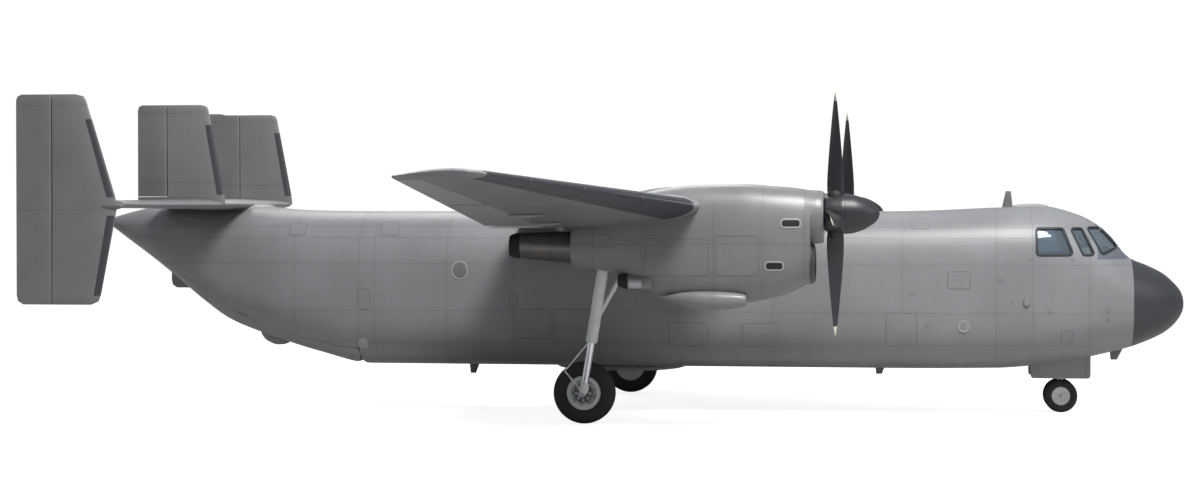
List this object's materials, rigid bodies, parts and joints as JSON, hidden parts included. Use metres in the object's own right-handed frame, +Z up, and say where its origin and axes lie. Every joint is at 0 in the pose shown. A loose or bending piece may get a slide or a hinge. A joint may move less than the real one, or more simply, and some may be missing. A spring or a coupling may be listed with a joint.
{
  "type": "military transport plane",
  "caption": "High-wing twin-propeller military transport plane on its gear, with four fins, folding wings, cargo ramp, opening crew door and moving flaps and rudders.",
  "frame": {"origin": "on the ground, below the middle of the plane's box", "axes": "+X to the nose, +Y to port along the span, +Z up"},
  "size_m": [17.32, 24.56, 4.841],
  "materials": {
    "grey_paint": "matt service grey",
    "nacelle_paint": "satin light grey",
    "dark_coating": "matt dark grey rain coating",
    "black_rubber": "matt",
    "hot_metal": "heat-darkened bare metal",
    "gear_white": "gloss off-white",
    "prop_black": "satin black",
    "cockpit_glass": "clear, slightly blue",
    "cabin_fabric": "woven",
    "panel_black": "matt black"
  },
  "bodies": {
    "airframe": {"radome": "dark_coating", "cockpit_section": "grey_paint", "windshield": "cockpit_glass", "instrument_panel": "panel_black", "cabin_section": "grey_paint", "belly_fairing": "grey_paint", "tail_section": "grey_paint", "tailplane": "grey_paint", "wing_centre": "grey_paint", "nose_leg": "gear_white", "seat_left": "cabin_fabric", "fin_inner_left": "grey_paint", "fin_outer_left": "grey_paint", "nacelle_left": "nacelle_paint", "exhaust_left": "hot_metal", "engine_left": "hot_metal", "main_leg_left": "gear_white", "nose_door_left": "grey_paint", "seat_right": "cabin_fabric", "fin_inner_right": "grey_paint", "fin_outer_right": "grey_paint", "nacelle_right": "nacelle_paint", "exhaust_right": "hot_metal", "engine_right": "hot_metal", "main_leg_right": "gear_white", "nose_door_right": "grey_paint"},
    "propeller_left": {"propeller_left": "prop_black", "spinner_left": "prop_black"},
    "main_wheel_left": {"main_rim_left": "gear_white", "main_tyre_left": "black_rubber"},
    "propeller_right": {"propeller_right": "prop_black", "spinner_right": "prop_black"},
    "main_wheel_right": {"main_rim_right": "gear_white", "main_tyre_right": "black_rubber"},
    "nose_steering": {"nose_steering": "gear_white"},
    "nose_wheels": {"nose_rim_left": "gear_white", "nose_rim_right": "gear_white", "nose_tyre_left": "black_rubber", "nose_tyre_right": "black_rubber"},
    "cargo_ramp": {"cargo_ramp": "grey_paint"},
    "cargo_door": {"cargo_door": "grey_paint"},
    "crew_door": {"crew_door": "grey_paint"},
    "elevator_inner_left": {"elevator_inner_left": "grey_paint"},
    "elevator_inner_right": {"elevator_inner_right": "grey_paint"},
    "elevator_outer_left": {"elevator_outer_left": "grey_paint"},
    "elevator_outer_right": {"elevator_outer_right": "grey_paint"},
    "rudder_outer_left": {"rudder_outer_left": "grey_paint"},
    "rudder_outer_right": {"rudder_outer_right": "grey_paint"},
    "rudder_inner_left": {"rudder_inner_left": "grey_paint"},
    "rudder_inner_right": {"rudder_inner_right": "grey_paint"},
    "wing_outer_left": {"wing_outer_left": "grey_paint"},
    "wing_outer_right": {"wing_outer_right": "grey_paint"},
    "flap_inner_left": {"flap_inner_left": "grey_paint"},
    "flap_inner_right": {"flap_inner_right": "grey_paint"},
    "flap_outer_left": {"flap_outer_left": "grey_paint"},
    "flap_outer_right": {"flap_outer_right": "grey_paint"},
    "aileron_left": {"aileron_left": "grey_paint"},
    "aileron_right": {"aileron_right": "grey_paint"}
  },
  "joints": [
    {"name": "propeller_left_spin", "type": "hinge", "parent": "airframe", "child": "propeller_left", "pos_m": [3.41, 3.7, 3.079], "axis": [1, 0, 0], "continuous": true},
    {"name": "main_wheel_left_roll", "type": "hinge", "parent": "airframe", "child": "main_wheel_left", "pos_m": [-0.27, 2.965, 0.455], "axis": [0, 1, 0], "continuous": true},
    {"name": "propeller_right_spin", "type": "hinge", "parent": "airframe", "child": "propeller_right", "pos_m": [3.41, -3.7, 3.079], "axis": [1, 0, 0], "continuous": true},
    {"name": "main_wheel_right_roll", "type": "hinge", "parent": "airframe", "child": "main_wheel_right", "pos_m": [-0.27, -2.965, 0.455], "axis": [0, 1, 0], "continuous": true},
    {"name": "nose_steer", "type": "hinge", "parent": "airframe", "child": "nose_steering", "pos_m": [6.79, 0, 0.255], "axis": [0, 0, 1], "range_deg": [-60, 60]},
    {"name": "nose_wheels_roll", "type": "hinge", "parent": "nose_steering", "child": "nose_wheels", "pos_m": [6.79, 0, 0.255], "axis": [0, 1, 0], "continuous": true},
    {"name": "ramp_lower", "type": "hinge", "parent": "airframe", "child": "cargo_ramp", "pos_m": [-4.27, 0, 0.89276], "axis": [0, -1, 0], "range_deg": [0, 35]},
    {"name": "door_raise", "type": "hinge", "parent": "airframe", "child": "cargo_door", "pos_m": [-7.95, 0, 2.64321], "axis": [0, -1, 0], "range_deg": [0, 25]},
    {"name": "crew_door_open", "type": "hinge", "parent": "airframe", "child": "crew_door", "pos_m": [5.1, 1.18286, 1.1], "axis": [-1, 0, 0], "range_deg": [0, 115]},
    {"name": "elevator_inner_left_turn", "type": "hinge", "parent": "airframe", "child": "elevator_inner_left", "pos_m": [-6.94384, 0.98, 3.22], "axis": [-0.008, 1, 0], "range_deg": [-20, 25]},
    {"name": "elevator_inner_right_turn", "type": "hinge", "parent": "airframe", "child": "elevator_inner_right", "pos_m": [-6.94384, -0.98, 3.22], "axis": [0.008, 1, 0], "range_deg": [-20, 25]},
    {"name": "elevator_outer_left_turn", "type": "hinge", "parent": "airframe", "child": "elevator_outer_left", "pos_m": [-7.05, 2.2, 3.22], "axis": [-0.44, 0.898, 0], "range_deg": [-20, 25]},
    {"name": "elevator_outer_right_turn", "type": "hinge", "parent": "airframe", "child": "elevator_outer_right", "pos_m": [-7.05, -2.2, 3.22], "axis": [0.44, 0.898, 0], "range_deg": [-20, 25]},
    {"name": "rudder_outer_left_turn", "type": "hinge", "parent": "airframe", "child": "rudder_outer_left", "pos_m": [-8.14, 3.72, 3.17], "axis": [0, 0, 1], "range_deg": [-20, 20]},
    {"name": "rudder_outer_right_turn", "type": "hinge", "parent": "airframe", "child": "rudder_outer_right", "pos_m": [-8.14, -3.72, 3.17], "axis": [0, 0, 1], "range_deg": [-20, 20]},
    {"name": "rudder_inner_left_turn", "type": "hinge", "parent": "airframe", "child": "rudder_inner_left", "pos_m": [-6.93, 2, 3.17], "axis": [0, 0, 1], "range_deg": [-20, 20]},
    {"name": "rudder_inner_right_turn", "type": "hinge", "parent": "airframe", "child": "rudder_inner_right", "pos_m": [-6.93, -2, 3.17], "axis": [0, 0, 1], "range_deg": [-20, 20]},
    {"name": "wing_fold_left", "type": "hinge", "parent": "airframe", "child": "wing_outer_left", "pos_m": [-0.4164, 4.4503, 2.89509], "axis": [-0.5774, 0.5774, 0.5774], "range_deg": [0, 120]},
    {"name": "wing_fold_right", "type": "hinge", "parent": "airframe", "child": "wing_outer_right", "pos_m": [-0.4164, -4.4503, 2.89509], "axis": [0.5774, 0.5774, -0.5774], "range_deg": [0, 120]},
    {"name": "flap_inner_left_lower", "type": "hinge", "parent": "airframe", "child": "flap_inner_left", "pos_m": [-0.66868, 1.41, 2.97667], "axis": [0.0229, -0.9997, -0.0048], "range_deg": [0, 30]},
    {"name": "flap_inner_right_lower", "type": "hinge", "parent": "airframe", "child": "flap_inner_right", "pos_m": [-0.66868, -1.41, 2.97667], "axis": [-0.0229, -0.9997, 0.0048], "range_deg": [0, 30]},
    {"name": "flap_outer_left_lower", "type": "hinge", "parent": "wing_outer_left", "child": "flap_outer_left", "pos_m": [-0.75094, 5, 3.03211], "axis": [0.0229, -0.9974, -0.0683], "range_deg": [0, 30]},
    {"name": "flap_outer_right_lower", "type": "hinge", "parent": "wing_outer_right", "child": "flap_outer_right", "pos_m": [-0.75094, -5, 3.03211], "axis": [-0.0229, -0.9974, 0.0683], "range_deg": [0, 30]},
    {"name": "aileron_left_turn", "type": "hinge", "parent": "wing_outer_left", "child": "aileron_left", "pos_m": [-0.82975, 8.43, 3.26695], "axis": [-0.0229, 0.9974, 0.0683], "range_deg": [-20, 20]},
    {"name": "aileron_right_turn", "type": "hinge", "parent": "wing_outer_right", "child": "aileron_right", "pos_m": [-0.82975, -8.43, 3.26695], "axis": [0.0229, 0.9974, -0.0683], "range_deg": [-20, 20]}
  ],
  "couplings": [
    {"joint": "elevator_inner_right_turn", "follows": "elevator_inner_left_turn", "ratio": 1},
    {"joint": "elevator_outer_left_turn", "follows": "elevator_inner_left_turn", "ratio": 1},
    {"joint": "elevator_outer_right_turn", "follows": "elevator_inner_left_turn", "ratio": 1},
    {"joint": "rudder_outer_right_turn", "follows": "rudder_outer_left_turn", "ratio": 1},
    {"joint": "rudder_inner_left_turn", "follows": "rudder_outer_left_turn", "ratio": 1},
    {"joint": "rudder_inner_right_turn", "follows": "rudder_outer_left_turn", "ratio": 1},
    {"joint": "wing_fold_right", "follows": "wing_fold_left", "ratio": 1},
    {"joint": "flap_inner_right_lower", "follows": "flap_inner_left_lower", "ratio": 1},
    {"joint": "flap_outer_left_lower", "follows": "flap_inner_left_lower", "ratio": 1},
    {"joint": "flap_outer_right_lower", "follows": "flap_inner_left_lower", "ratio": 1},
    {"joint": "aileron_right_turn", "follows": "aileron_left_turn", "ratio": -1}
  ]
}
